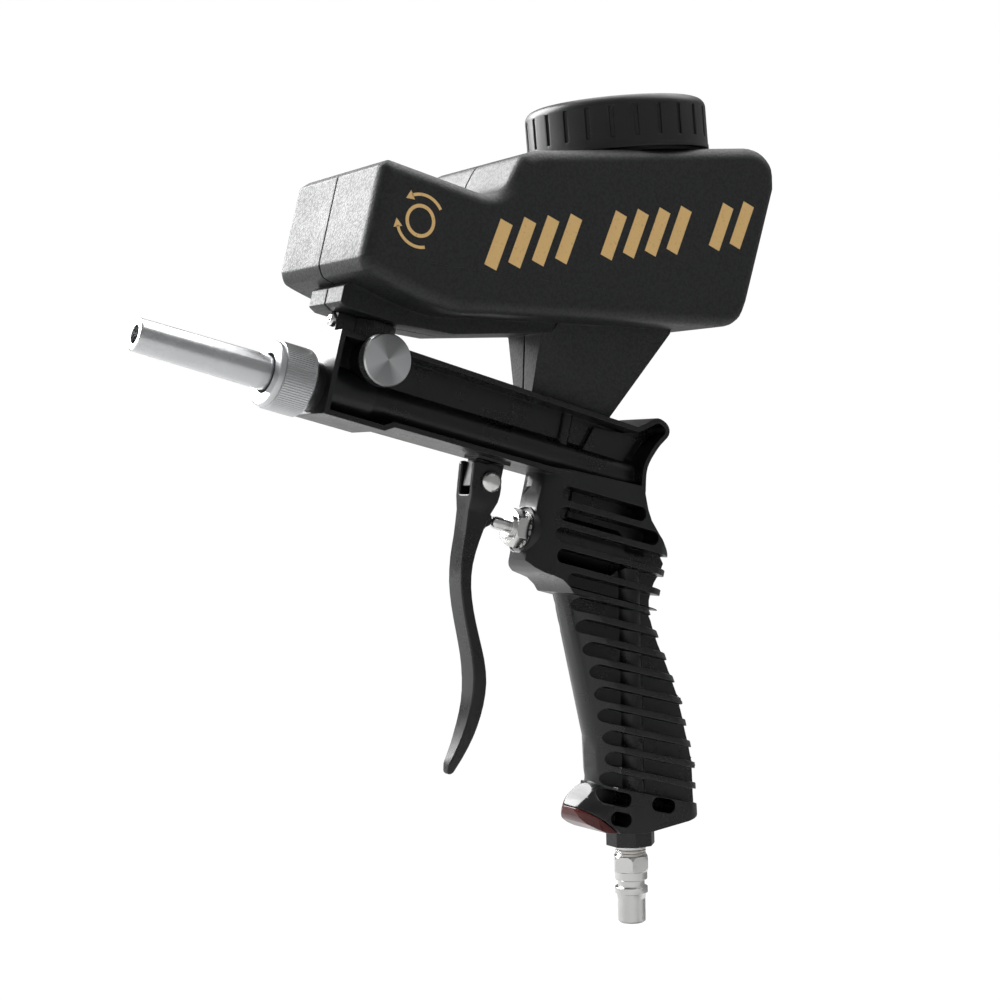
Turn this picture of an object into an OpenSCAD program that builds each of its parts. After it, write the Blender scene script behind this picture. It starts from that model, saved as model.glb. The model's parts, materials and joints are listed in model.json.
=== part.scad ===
// Gravity feed sandblaster gun: moulded gun body with trigger valve, screwed nozzle,
// rotary abrasive valve and a two-shell hopper with a screw cap.
// X runs along the barrel from nozzle to rear, Z is up, and the barrel axis is y = 0, z = 0.
// The front face of the body is at x = 0.

/* [Body] */
// Width of the body across its flanges
body_w = 28; // [24:1:34]
// Thickness of the middle web
web_t = 6; // [4:0.5:8]
// Thickness of the flange that runs round the frame
rim_t = 2.2; // [1.6:0.1:3]
// Length of the barrel frame from its front face to the grip's back
barrel_len = 152; // [140:1:185]
// Height of the frame's top above the barrel axis
frame_top = 22.4; // [20:0.2:26]
// Drop from the barrel axis to the frame's lower flange
frame_drop = 8.6; // [8:0.2:11]
// Length of the front block
block_len = 27; // [26:1:36]
// Drop from the barrel axis to the front block's base
block_drop = 11; // [10.6:0.1:13]
// Radius of the barrel tube's outside
tube_r = 8; // [7:0.1:8.4]
// Radius of the barrel's bore
bore_r = 5; // [4:0.1:5.6]
// Radius of the socket behind the nozzle
socket_r = 10.4; // [9:0.1:10.6]

/* [Grip] */
// Spacing of the grip's ribs
slot_pitch = 8.5; // [8.2:0.1:8.6]
// Height of the slots between the ribs
slot_h = 5.8; // [5:0.1:6.4]
// Height of the first slot's centre
slot_z = -14.6; // [-15:0.1:-14]
// Angle of the air tube from the vertical
air_tilt = 15; // [12:1:18]
// Radius of the air tube's outside
air_tube_r = 6.5; // [5.5:0.1:8]
// Radius of the air channel
air_r = 3.5; // [2.5:0.1:4]
// Width across the corners of the eight-sided boss round the air inlet
inlet_boss = 21.2; // [20.8:0.2:26]

/* [Nozzle] */
// Length of the nozzle in front of the body
nozzle_len = 75; // [55:1:110]
// Radius of the nozzle's outside at its tip
nozzle_tip_r = 6.4; // [5.5:0.1:6.8]
// Radius of the nozzle's outside at its root
nozzle_root_r = 6.9; // [6:0.1:7.4]
// Radius of the nozzle's bore
nozzle_bore_r = 3.65; // [2:0.05:4.5]
// Radius of the knurled nut
nut_r = 13.5; // [12.6:0.1:15]
// Length of the knurled nut
nut_len = 16.5; // [15:0.5:22]
// Gap between the nut and the body
nut_gap = 4.5; // [2:0.5:6]

/* [Abrasive valve] */
// Distance of the abrasive feed behind the front face
feed_x = 19; // [18:0.5:24]
// Height of the valve shaft above the barrel axis
feed_z = 15; // [13.5:0.1:16]
// Radius of the valve shaft
shaft_r = 4.95; // [4:0.05:5.5]
// Radius of the abrasive passage
feed_r = 3; // [2:0.1:3.4]
// Radius of the knob
knob_r = 10.4; // [9:0.1:12]
// Thickness of the knob
knob_t = 6.2; // [4:0.1:8]

/* [Trigger] */
// Distance of the trigger pivot behind the front face
pivot_x = 82.5; // [80:0.5:85]
// Height of the trigger pivot
pivot_z = -17.6; // [-18.5:0.1:-17]
// Radius of the trigger pin
pin_r = 2.5; // [2:0.1:3]
// Width of the trigger's lever
lever_w = 10.4; // [8:0.2:12]
// Width of the lug between the trigger's ears
lug_w = 7; // [5:0.2:8]
// Thickness of each ear
ear_t = 2.8; // [2:0.1:3.5]

/* [Air valve] */
// Height of the air valve's axis
valve_z = -32.5; // [-33:0.1:-32]
// Radius of the valve chamber
valve_bore_r = 6; // [5.5:0.1:6.6]
// Radius of the valve stem
stem_r = 2.6; // [2:0.1:3]
// Distance across the flats of the gland nut
gland_af = 14; // [12:0.5:16]
// Thickness of the gland nut
gland_t = 6; // [4:0.5:7]

/* [Hopper] */
// Width of the hopper
hop_w = 76; // [66:1:100]
// Length of the hopper
hop_len = 182; // [165:1:215]
// Wall of the hopper
hop_wall = 2.2; // [1.6:0.1:3]
// Rise of the hopper above its lowest point
hop_h = 106; // [96:1:128]
// Width of the trough under the hopper
keel_w = 28; // [26:1:34]
// Width of the pedestal's foot
foot_w = 14; // [12:1:20]
// Half the gap that the seam's gasket fills
seam_gap = 0.3; // [0.2:0.05:0.5]
// Radius of the outlet's spigot
spigot_r = 6.5; // [5:0.1:6.8]

/* [Cap] */
// Radius of the cap
cap_r = 38.2; // [31.6:0.2:40]
// Height of the cap
cap_h = 21.5; // [19:0.5:28]
// Wall of the cap
cap_wall = 3.2; // [2.4:0.1:4]
// Number of grip slots round the cap
cap_slots = 24; // [20:1:36]

/* [Hidden] */
$fn = 64;
e = 0.01;
running = 0.05;                     // radial clearance of a turning or sliding fit
fit_gap = 0.1;                      // radial clearance of a screwed or pushed fit
half_w = body_w / 2;
half_web = web_t / 2;
round_r = half_w + 0.4;              // rounding of the grip's front and back
grip_dx = barrel_len - 152;         // shift of the grip when the barrel gets longer
horn_z = 20.5;                      // height of the frame's top where the horn begins

function curve_point(a, b, c, d, t) =
    0.5 * (2*b + (c - a)*t + (2*a - 5*b + 4*c - d)*t*t + (3*b - a - 3*c + d)*t*t*t);
// smooth curve through points p, with n steps between each pair
function curve(p, n) = [for (i = [0 : len(p) - 2], s = [0 : n - 1])
    curve_point(p[max(i-1, 0)], p[i], p[i+1], p[min(i+2, len(p)-1)], s/n), p[len(p)-1]];
function arc(cx, cz, r, a0, a1, n) =
    [for (i = [0 : n]) [cx + r*cos(a0 + (a1-a0)*i/n), cz + r*sin(a0 + (a1-a0)*i/n)]];
function shift(p, dx, dz) = [for (q = p) q + [dx, dz]];

// a side-view outline given depth from y0 to y1
module slab(y0, y1)
    translate([0, y1, 0]) rotate([90, 0, 0]) linear_extrude(y1 - y0) children();
module along_x(x0, x1, r, z = 0)
    translate([x0, 0, z]) rotate([0, 90, 0]) cylinder(r = r, h = x1 - x0);
module along_y(y0, y1, r, x, z)
    translate([x, y1, z]) rotate([90, 0, 0]) cylinder(r = r, h = y1 - y0);
module ring(ro, ri, h) difference() {
    cylinder(r = ro, h = h);
    translate([0, 0, -1]) cylinder(r = ri, h = h + 2);
}
module both_sides() {
    children();
    mirror([0, 1, 0]) children();
}

// ---------- gun body ----------
horn = shift(curve([[143, horn_z], [147, 23.2], [152, 26.6], [157.5, 25.2], [159.2, 21], [155, 14.2],
                    [151.7, 5], [153, -4.5]], 4), grip_dx, 0);
module frame_outline() polygon(concat(
    [[0, -block_drop], [0, frame_top], [block_len, frame_top]],
    horn,
    [[153.5 + grip_dx, 0.7 - frame_drop], [95, 0.4 - frame_drop],
     [block_len + 4, -frame_drop], [block_len, -block_drop]]));

// outline of the grip from the valve's nose down its front, round the toe and up its back
grip_outline = shift(concat(
    curve([[93, -6], [102, -11.5], [106, -18], [105.4, -28], [104.5, -38], [106, -45], [112.5, -48.6],
           [121, -49.6], [129, -55.5], [136.5, -69], [143.5, -83.5], [150.5, -97], [157.5, -110.5],
           [161.8, -122], [161, -130], [156.5, -136.5], [155.2, -141], [159, -145.2], [168, -147.4]], 2),
    [[187, -144.5], [215, -133.2]],
    curve([[217.6, -130], [216, -122], [211.5, -110], [205.5, -97.5], [198, -85], [190, -74.5], [182, -65],
           [176, -56], [173.2, -48], [174, -40], [176.8, -31], [169.5, -25], [159, -16],
           [154.5, -8.5], [152, -3]], 2)), grip_dx, 0);
// round-fronted column that leans back by tilt below its front point x, z
module round_front(x, z, tilt, len) translate([x + grip_dx, 0, z]) rotate([0, -tilt, 0])
    translate([round_r, 0, -len]) union() {
        cylinder(r = round_r, h = len);
        translate([0, -round_r, 0]) cube([90, 2*round_r, len]);
    }
// the same for the back, and it reaches up above its point by rise
module round_back(x, z, tilt, len, rise) translate([x + grip_dx, 0, z]) rotate([0, -tilt, 0])
    translate([-round_r, 0, -len]) union() {
        cylinder(r = round_r, h = len + rise);
        translate([-110, -round_r, 0]) cube([110, 2*round_r, len + rise]);
    }
module grip_core() intersection() {
    slab(-half_w, half_w) polygon(grip_outline);
    union() {
        round_front(104.5, 0, 0, 54);
        round_front(125, -47, 27.3, 84);
        round_front(156, -105, 17, 28);
        translate([169 + grip_dx, 0, -141]) sphere(r = round_r);
        translate([168 + grip_dx, -round_r, -151]) cube([52, 2*round_r, 40]);
    }
    union() {
        round_back(177, -6, 0, 46, 16);
        round_back(174, -53, 36.9, 41, 44);
        round_back(198, -85, 28.4, 29, 1);
        round_back(211.5, -110, 17.2, 29, 1);
    }
}

// front end of each slot, from the top down
slot_fronts = [113, 113.5, 113.5, 116, 123.5, 132, 136.5, 141.5, 146.5, 151, 155, 159.5, 162.5, 163.5];
slot_backs = [155.5, 164];          // back ends of the closed slots, the others run out of the back
open_back = 232;
// short slots in the toe: front end, back end, depth below the first of them
low_slots = [[161.5, 176, 0], [187, 199, -1], [167.5, 178, 8.1]];
low_slot_z = slot_z + 1.1 - len(slot_fronts)*slot_pitch;
module slot_shape(x0, x1, z, h) {
    translate([x0, z - h/2]) square([x1 - x0, h]);
    translate([x0, z]) circle(r = h/2, $fn = 32);
    translate([x1, z]) circle(r = h/2, $fn = 32);
}
module side_slot(front, back, z)
    slot_shape(front + slot_h/2 + grip_dx, back - slot_h/2 + grip_dx, z, slot_h);
module grip_slots() both_sides() slab(half_web, half_w + 1) {
    for (i = [0 : len(slot_fronts) - 1])
        side_slot(slot_fronts[i], i < len(slot_backs) ? slot_backs[i] : open_back, slot_z - i*slot_pitch);
    for (s = low_slots) side_slot(s[0], s[1], low_slot_z - s[2]);
}

// the air tube's axis: from the inlet up to the valve chamber
inlet_x = 190 + grip_dx;
inlet_z = -150.5;
air_len = (valve_z - inlet_z) / cos(air_tilt);
air_top_x = inlet_x - air_len*sin(air_tilt);
module at_inlet() translate([inlet_x, 0, inlet_z]) rotate([0, -air_tilt, 0]) children();

valve_front = 106 + grip_dx;        // x of the face that the gland nut seats on
elbow = 5;                          // end of the air tubes past the point where they meet
chamber_len = 40;
valve_boss_r = valve_bore_r + 4;
gallery_x = valve_front + 13;
barrel_end = gallery_x + 6;
trig_x = pivot_x + grip_dx;
lug_x0 = trig_x - 7;
lug_x1 = trig_x + 6.5;
spigot_len = 12;                    // threaded spigot in front of the body
spigot_thread_r = 10.4;
shaft_boss_r = shaft_r + 3.2;
shaft_boss_y = half_w - 1.2;         // knob side
clip_boss_y = half_w + 0.2;          // clip side
inlet_bore_r = 8.2;
inlet_depth = 14;
stub_x = 114;                       // short rib on the web
tongue_x = 98;                      // tongue of the pedestal's foot, in a slot of the body
tongue_len = 26;
tongue_w = 4;
tongue_h = 2;
// height of the frame's top at x, where the pedestal's foot stands
function foot_z(x) = frame_top - (x - block_len) * (frame_top - horn_z) / (143 + grip_dx - block_len);

module frame() {
    difference() {
        slab(-half_w, half_w) frame_outline();
        both_sides() slab(half_web, half_w + 1) offset(delta = -rim_t) frame_outline();
    }
}
module shaft_boss() intersection() {
    along_y(-shaft_boss_y, clip_boss_y, shaft_boss_r, feed_x, feed_z);
    translate([0, -body_w, -block_drop]) cube([2*feed_x, 2*body_w, block_drop + frame_top]);
}
module stiffeners() {
    along_x(1, barrel_len - 1, tube_r);
    along_x(1, 22, socket_r);
    shaft_boss();
    both_sides() translate([stub_x, half_web, tube_r - 3]) cylinder(r = 2.6, h = 16, $fn = 32);
    both_sides() slab(half_web - e, half_web + 2.2) polygon(shift(
        [[-28, 5], [-24, 16.5], [-9, 18], [-1, 17], [-7, 5]], barrel_len - 1, 0));
}
module trigger_lug() {
    slab(-lug_w/2, lug_w/2) union() {
        translate([lug_x0, pivot_z]) square([lug_x1 - lug_x0, -frame_drop - pivot_z + 1]);
        translate([trig_x, pivot_z]) circle(r = 5.4);
        translate([lug_x0, pivot_z - 3.5]) square([6, 5]);
    }
    translate([lug_x0 - 0.5, -6, -frame_drop - 0.9]) cube([lug_x1 - lug_x0 + 2, 12, 1.9]);
}
module body_bores() {
    along_x(-spigot_len - 1, barrel_end, bore_r);
    translate([feed_x, 0, 0]) cylinder(r = feed_r + 0.5, h = frame_top + 1);
    along_y(-half_w - 1, half_w + 1, shaft_r + running, feed_x, feed_z);
    along_y(-half_w, half_w, pin_r + running, trig_x, pivot_z);
    along_x(valve_front - 10, valve_front + chamber_len, valve_bore_r, valve_z);
    along_x(valve_front - 10, valve_front, gland_af/2/cos(30) + 1.4, valve_z);
    along_x(valve_front, air_top_x + 1, air_r + 0.4, valve_z);
    translate([gallery_x, 0, valve_z]) cylinder(r = air_r, h = -valve_z);
    at_inlet() translate([0, 0, -2]) cylinder(r = inlet_bore_r, h = inlet_depth + 2);
    at_inlet() cylinder(r = air_r, h = air_len);
    translate([tongue_x - fit_gap, -tongue_w/2 - fit_gap, foot_z(tongue_x) - tongue_h - fit_gap])
        cube([tongue_len + 2*fit_gap, tongue_w + 2*fit_gap, tongue_h + 3]);
}
module gun_body() color([0.03, 0.03, 0.035]) difference() {
    union() {
        frame();
        stiffeners();
        difference() { grip_core(); grip_slots(); toe_pocket(); }
        trigger_lug();
        along_x(-spigot_len, 2, spigot_thread_r - 0.6);
        along_x(valve_front - 1, valve_front + chamber_len + 5, valve_boss_r, valve_z);
        along_x(valve_front, air_top_x + elbow, air_tube_r + 0.8, valve_z);
        at_inlet() cylinder(r = air_tube_r, h = air_len + elbow);
        at_inlet() rotate([0, 0, 22.5]) cylinder(r = inlet_boss/2, h = inlet_depth, $fn = 8);
        translate([gallery_x, 0, valve_z]) cylinder(r = air_r + 2.5, h = -valve_z);
    }
    body_bores();
}

// ---------- small parts on the body ----------
// slanting base of the grip's toe, which a coloured plug closes
module toe_shape() polygon(shift([[148, -150], [148, -139.6], [156, -139.6], [165, -142.6],
                                  [174.5, -146.8], [174.5, -150]], grip_dx, 0));
module toe_pocket() slab(-half_w - 1, half_w + 1) toe_shape();
module toe_insert() color([0.35, 0.05, 0.04]) intersection() {
    grip_core();
    slab(-half_w + 1.2, half_w - 1.2) offset(delta = -0.15) toe_shape();
}

module inlet_bush() color([0.72, 0.55, 0.25])
    at_inlet() ring(inlet_bore_r - running, plug_thread_r + fit_gap, inlet_depth - 0.5);
plug_thread_r = 6.58;
plug_bore_r = 3.6;
plug_hex_af = 14;
// quick plug: pairs of radius and distance out of the boss
plug_profile = [
    [plug_bore_r, 10], [plug_thread_r - 0.6, 10], [plug_thread_r, 9], [plug_thread_r, -1.5],
    [plug_thread_r - 0.7, -2], [plug_thread_r - 0.7, -5], [6.9, -5], [6.9, -14.7], [5.7, -15],
    [5.7, -17.6], [7, -17.9], [7, -20.4], [6.4, -20.9], [5.9, -23], [5.9, -32.4], [5.3, -33],
    [plug_bore_r, -33]];
hex_h = 6.8;
hex_z = -11.3;
module inlet_plug() color([0.85, 0.85, 0.87]) at_inlet() difference() {
    union() {
        rotate_extrude() polygon(plug_profile);
        intersection() {
            translate([0, 0, hex_z]) cylinder(r = plug_hex_af/2/cos(30), h = hex_h, $fn = 6);
            translate([0, 0, hex_z]) cylinder(r1 = plug_hex_af/2 + 0.2, r2 = plug_hex_af/2 + 3, h = hex_h);
            translate([0, 0, hex_z]) cylinder(r1 = plug_hex_af/2 + 3, r2 = plug_hex_af/2 + 0.2, h = hex_h);
        }
    }
    translate([0, 0, -40]) cylinder(r = plug_bore_r, h = 60);
}

// ---------- nozzle ----------
flange_r = 9.6;
flange_x0 = -spigot_len - 3;
flange_x1 = -spigot_len - 0.6;
nut_x0 = -nut_gap - nut_len;
module turned_x() rotate([0, 90, 0]) rotate_extrude() children();
module nozzle_tube() color([0.75, 0.76, 0.78]) turned_x() polygon([
    [nozzle_bore_r, -nozzle_len], [nozzle_tip_r - 0.5, -nozzle_len], [nozzle_tip_r, 0.5 - nozzle_len],
    [nozzle_root_r, nut_x0 - 1], [nozzle_root_r, flange_x0], [flange_r, flange_x0],
    [flange_r, flange_x1], [nozzle_bore_r + 1.2, flange_x1], [nozzle_bore_r, flange_x1 - 3]]);
module nut_blank() turned_x() polygon([
    [nozzle_root_r + 1.1, nut_x0], [nut_r - 0.6, nut_x0], [nut_r, nut_x0 + 0.6],
    [nut_r, nut_x0 + nut_len - 0.8],
    [nut_r - 0.8, nut_x0 + nut_len], [spigot_thread_r + fit_gap, nut_x0 + nut_len],
    [spigot_thread_r + fit_gap, flange_x0], [nozzle_root_r + 1.1, flange_x0]]);
module nozzle_nut() color([0.8, 0.8, 0.82]) difference() {
    nut_blank();
    for (i = [0 : 35]) rotate([i*10, 0, 0]) translate([nut_x0 + 2.2, 0, nut_r + 0.15])
        rotate([45, 0, 0]) translate([0, -0.3, -0.3]) cube([nut_len - 4, 0.6, 0.6]);
}
module nozzle_gasket() color([0.1, 0.1, 0.1])
    translate([flange_x1, 0, 0]) rotate([0, 90, 0]) ring(flange_r, bore_r, 0.6);
jet_x = feed_x + 6;
module air_jet() color([0.75, 0.6, 0.3]) turned_x() polygon([
    [1.5, jet_x - 7], [2.4, jet_x - 7], [bore_r - running, jet_x], [bore_r - running, jet_x + 16],
    [bore_r - 1.4, jet_x + 16], [1.5, jet_x + 8]]);

// ---------- hopper outlet and abrasive valve ----------
neck_r = 9.6;
neck_h = 8.4;
neck_seat = 2;
neck_boss_x0 = 2;
neck_screw_z = frame_top + 5.2;
screw_r = 1.5;
module outlet_neck() color([0.05, 0.05, 0.05]) difference() {
    union() {
        translate([feed_x, 0, frame_top]) rotate([0, 0, 22.5]) cylinder(r = neck_r, h = neck_h, $fn = 8);
        translate([neck_boss_x0, -3.4, frame_top]) cube([feed_x - neck_boss_x0 - 6, 6.8, neck_h]);
    }
    translate([feed_x, 0, frame_top - 1]) cylinder(r = feed_r + 0.5, h = neck_h);
    translate([feed_x, 0, frame_top + neck_seat]) cylinder(r = spigot_r + fit_gap, h = neck_h);
    along_x(neck_boss_x0 - 1, feed_x, screw_r + running, neck_screw_z);
}
module neck_seal() color([0.15, 0.15, 0.15])
    translate([feed_x, 0, frame_top + neck_seat]) ring(spigot_r - 0.2, feed_r + 0.8, 1);
module cross_recess(size) for (a = [45, 135])
    rotate([a, 0, 0]) translate([-e, -size, -size/4]) cube([1.4, 2*size, size/2]);
module neck_screw() color([0.8, 0.8, 0.82]) difference() {
    translate([0, 0, neck_screw_z]) turned_x() polygon([
        [0, neck_boss_x0 - 2], [1.7, neck_boss_x0 - 1.8], [2.7, neck_boss_x0 - 1], [2.8, neck_boss_x0],
        [screw_r, neck_boss_x0], [screw_r, feed_x - spigot_r - 0.6],
        [0.8, feed_x - spigot_r - fit_gap], [0, feed_x - spigot_r - fit_gap]]);
    translate([neck_boss_x0 - 2, 0, neck_screw_z]) cross_recess(1.5);
}
knob_y0 = -half_w - knob_t;
shaft_end_r = 3;
seal_wire = 0.55;
seal_y = [-8.5, 8.5];
clip_y = clip_boss_y + 0.15;
module turned_y(x, z)
    translate([x, 0, z]) rotate([90, 0, 0]) rotate_extrude() children();
module feed_shaft() color([0.8, 0.8, 0.8]) difference() {
    union() {
        along_y(-shaft_boss_y, clip_y + 2, shaft_r, feed_x, feed_z);
        along_y(-half_w - knob_t + 1.4, -shaft_boss_y, shaft_end_r, feed_x, feed_z);
    }
    translate([feed_x, 0, feed_z - 9]) cylinder(r = feed_r, h = 18);
    for (y = seal_y)
        turned_y(feed_x, feed_z) translate([shaft_r - 2*seal_wire, -y - 0.6]) square([3, 1.2]);
    turned_y(feed_x, feed_z) translate([shaft_r - 1, -clip_y - 0.8]) square([3, 0.8]);
}
module shaft_seals() color([0.1, 0.1, 0.1]) for (y = seal_y)
    turned_y(feed_x, feed_z) translate([shaft_r - seal_wire, -y]) circle(r = seal_wire, $fn = 24);
module shaft_clip() color([0.3, 0.3, 0.32]) turned_y(feed_x, feed_z)
    translate([shaft_r - 0.9, -clip_y - 0.7]) square([shaft_boss_r - shaft_r + 0.4, 0.6]);
module feed_knob() color([0.8, 0.8, 0.82]) difference() {
    turned_y(feed_x, feed_z) polygon([[0, -knob_y0], [knob_r - 0.5, -knob_y0], [knob_r, -knob_y0 - 0.5],
        [knob_r, half_w + 0.6], [knob_r - 0.6, half_w + 0.2], [0, half_w + 0.2]]);
    along_y(-half_w - knob_t + 1.2, -half_w, shaft_end_r + running, feed_x, feed_z);
    translate([feed_x, -half_w - knob_t/2, feed_z - knob_r - 1]) cylinder(r = screw_r + running, h = knob_r);
}
module knob_grub_screw() color([0.25, 0.25, 0.27])
    translate([feed_x, -half_w - knob_t/2, feed_z - knob_r + 1])
    cylinder(r = screw_r, h = knob_r - 1 - shaft_end_r - fit_gap);

// ---------- trigger ----------
lever_dx = trig_x - 82.5;           // the outlines below are for a pivot at x = 82.5
lever_front = [[73.4, -11.5], [74.4, -20], [75.8, -30], [76.9, -41], [77.4, -50], [79.2, -60], [82.6, -69.5],
               [87, -79], [91.2, -88], [94.2, -97], [95.6, -106], [95.4, -115], [94.2, -124], [92.3, -132]];
lever_back = [[96.6, -132], [99.2, -124], [101, -115], [101.6, -106], [100.6, -97], [97.4, -88], [92.6, -79],
              [88, -70], [84.6, -61], [83.2, -52], [84, -42], [86, -32], [88, -25], [88.2, -19], [86.6, -13]];
pusher_r = 3;
pusher_x = trig_x + 3.8;
ears_w = lug_w + 2*ear_t + 0.5;
module lever_outline() polygon(concat(
    shift(curve(lever_front, 2), lever_dx, 0),
    shift([[92.6, -135.4], [94.2, -136.2], [95.6, -135]], lever_dx, 0),
    shift(curve(lever_back, 2), lever_dx, 0),
    arc(trig_x, pivot_z, 7.6, 50, 118, 5), [[74.5 + lever_dx, -10.6]]));
module lever_width() let (w = lever_w/2) polygon([
    [-ears_w/2, 0], [-ears_w/2, -25], [-w, -31], [-w, -95], [-w + 1, -118], [-w + 2.2, -130],
    [-w + 3.4, -137], [w - 3.4, -137], [w - 2.2, -130], [w - 1, -118], [w, -95], [w, -31],
    [ears_w/2, -25], [ears_w/2, 0]]);
module trigger_lever() color([0.04, 0.04, 0.045]) difference() {
    union() {
        intersection() {
            slab(-ears_w/2, ears_w/2) lever_outline();
            translate([60 + lever_dx, 0, 0]) rotate([90, 0, 90]) linear_extrude(60) lever_width();
        }
        along_y(-2.8, 2.8, pusher_r, pusher_x, valve_z);
        translate([pusher_x - 6, -2.8, valve_z - 4]) cube([6.4, 5.6, 7]);
    }
    slab(-lug_w/2 - 0.25, lug_w/2 + 0.25) polygon(shift(
        [[60, 0], [60, -23.5], [76, -24.5], [84, -26.5], [96, -26.5], [96, 0]], lever_dx, 0));
    along_y(-20, 20, pin_r + running, trig_x, pivot_z);
}
pin_head_r = 4.6;
module trigger_pin() color([0.85, 0.85, 0.87]) turned_y(trig_x, pivot_z) polygon([
    [0, ears_w/2 + 3.2], [1.8, ears_w/2 + 3], [3.4, ears_w/2 + 2.3], [4.3, ears_w/2 + 1.3],
    [pin_head_r, ears_w/2 + 0.3],
    [pin_r, ears_w/2 + 0.3], [pin_r, -ears_w/2 - 0.4], [pin_r - 0.6, -ears_w/2 - 0.4],
    [pin_r - 0.6, -ears_w/2 - 1.2], [pin_r, -ears_w/2 - 1.2],
    [pin_r - 0.4, -ears_w/2 - 2], [0, -ears_w/2 - 2]]);
module trigger_clip() color([0.3, 0.3, 0.32]) turned_y(trig_x, pivot_z)
    translate([pin_r - 0.5, -ears_w/2 - 1.1]) square([2.6, 0.6]);

// ---------- air valve ----------
stem_tip = pusher_x + pusher_r + 0.3;
washer_t = 0.9;
nut_back = valve_front - washer_t;
packing_x = valve_front + 4.2;
seat_x = valve_front + 20;
poppet_x = seat_x + 3;
stem_neck_r = 1.7;
poppet_r = valve_bore_r - 1.3;
spring_end = valve_front + chamber_len - 1;
// puts a part that is drawn upwards at x along the valve's axis
module on_valve(x = 0) translate([x, 0, valve_z]) rotate([0, 90, 0]) children();
module gland_nut() color([0.8, 0.8, 0.82]) difference() {
    union() {
        on_valve(nut_back - gland_t) intersection() {
            cylinder(r = gland_af/2/cos(30), h = gland_t, $fn = 6);
            cylinder(r1 = gland_af/2 + 0.2, r2 = gland_af/2 + 6, h = gland_t);
        }
        along_x(nut_back - gland_t - 1.4, nut_back - 1, gland_af/2 - 1.8, valve_z);
        along_x(nut_back - 1, packing_x - 0.2, valve_bore_r - fit_gap, valve_z);
    }
    along_x(nut_back - gland_t - 3, packing_x + 1, stem_r + running, valve_z);
}
module lock_washer() color([0.7, 0.7, 0.72]) difference() {
    on_valve(nut_back) ring(gland_af/2 + 0.9, valve_bore_r + 0.1, washer_t);
    for (i = [0 : 17]) translate([nut_back - 1, 0, valve_z]) rotate([i*20, 0, 0])
        translate([0, gland_af/2 + 0.1, -0.35]) cube([washer_t + 2, 2, 0.7]);
}
module valve_stem() color([0.85, 0.85, 0.87]) on_valve() rotate_extrude() polygon(concat(
    arc(0, stem_tip + stem_r, stem_r, -90, 0, 8),
    [[stem_r, packing_x + 4.5], [stem_neck_r, packing_x + 5.5],
     [stem_neck_r, poppet_x + 6], [0, poppet_x + 6]]));
module stem_packing() color([0.9, 0.9, 0.88])
    on_valve(packing_x) ring(valve_bore_r - running, stem_r + running, 2.6);
module valve_seat() color([0.75, 0.6, 0.3])
    on_valve(seat_x) ring(valve_bore_r - running, stem_neck_r + 1.5, 2.9);
module poppet_seal() color([0.1, 0.1, 0.1])
    on_valve(poppet_x) ring(poppet_r, stem_neck_r + 0.1, 1);
module valve_poppet() color([0.7, 0.55, 0.3]) on_valve() rotate_extrude() polygon([
    [stem_neck_r + running, poppet_x + 1], [poppet_r, poppet_x + 1], [poppet_r, poppet_x + 2.6],
    [2.8, poppet_x + 2.8], [2.8, poppet_x + 5], [stem_neck_r + running, poppet_x + 5]]);
spring_x0 = poppet_x + 2.8;
spring_wire = 0.4;
spring_r = 3.7;
spring_turns = 4;
spring_sides = 6;
function spring_ring(k) = let (n = spring_turns*12, a = k*30,
        x = spring_x0 + spring_wire + 0.05 + (spring_end - spring_x0 - 2*spring_wire - 0.1)*k/n)
    [for (j = [0 : spring_sides - 1]) let (b = 360*j/spring_sides, r = spring_r + spring_wire*cos(b))
        [x + spring_wire*sin(b), r*cos(a), r*sin(a)]];
module tube_mesh(rings) let (m = len(rings), n = len(rings[0])) polyhedron(
    points = [for (s = rings, p = s) p], faces = concat(
        [[for (j = [n-1 : -1 : 0]) j]], [[for (j = [0 : n-1]) (m-1)*n + j]],
        [for (i = [0 : m-2], j = [0 : n-1]) let (k = (j+1) % n) [i*n+j, i*n+k, (i+1)*n+k]],
        [for (i = [0 : m-2], j = [0 : n-1]) let (k = (j+1) % n) [i*n+j, (i+1)*n+k, (i+1)*n+j]]));
module valve_spring() color([0.6, 0.6, 0.62])
    translate([0, 0, valve_z]) tube_mesh([for (k = [0 : spring_turns*12]) spring_ring(k)]);
module spring_stop() color([0.75, 0.6, 0.3])
    on_valve(spring_end) ring(valve_bore_r - running, air_r - 0.5, 0.9);

// ---------- hopper ----------
hop_x0 = -9;
hop_half = hop_w/2;
hop_sx = hop_len/182;
hop_sz = hop_h/106;
hop_base = frame_top + neck_h + 7.2;    // height of the hopper's lowest flat
keel_z = frame_top + neck_h;
function hop_pt(p) = [hop_x0 + p[0]*hop_sx, hop_base + p[1]*hop_sz];
// side view, from the hopper's front and from its lowest point
hop_valley = curve([[44, 47.5], [50, 49], [54.5, 54], [57, 62.5], [59.5, 68], [66, 72]], 4);
hop_rear_top = curve([[158.5, 104], [166, 106.3], [173, 105.8], [179, 101.5], [181.8, 93]], 3);
hop_rear_low = curve([[179, 43], [177.5, 36], [173.5, 31.4], [168, 29]], 3);
hop_low_front = curve([[58, 2.8], [47, 0], [36, -0.5], [24, 0.6], [6, 3.4], [2, 5.2], [0, 9]], 3);
module hop_outline() polygon([for (p = concat(
    [[0, 44], [3.5, 47.5]], hop_valley, hop_rear_top, hop_rear_low, hop_low_front)) hop_pt(p)]);
keel_half = keel_w/2;
module keel_outline() polygon([
    [hop_x0 + 6, keel_z + 8], [hop_x0 + 6, keel_z + 1.5], [hop_x0 + 9, keel_z], [24, keel_z + 0.2],
    [48, keel_z + 3], [92, keel_z + 16], [96, keel_z + 26], [20, keel_z + 24], [10, keel_z + 18]]);
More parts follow.
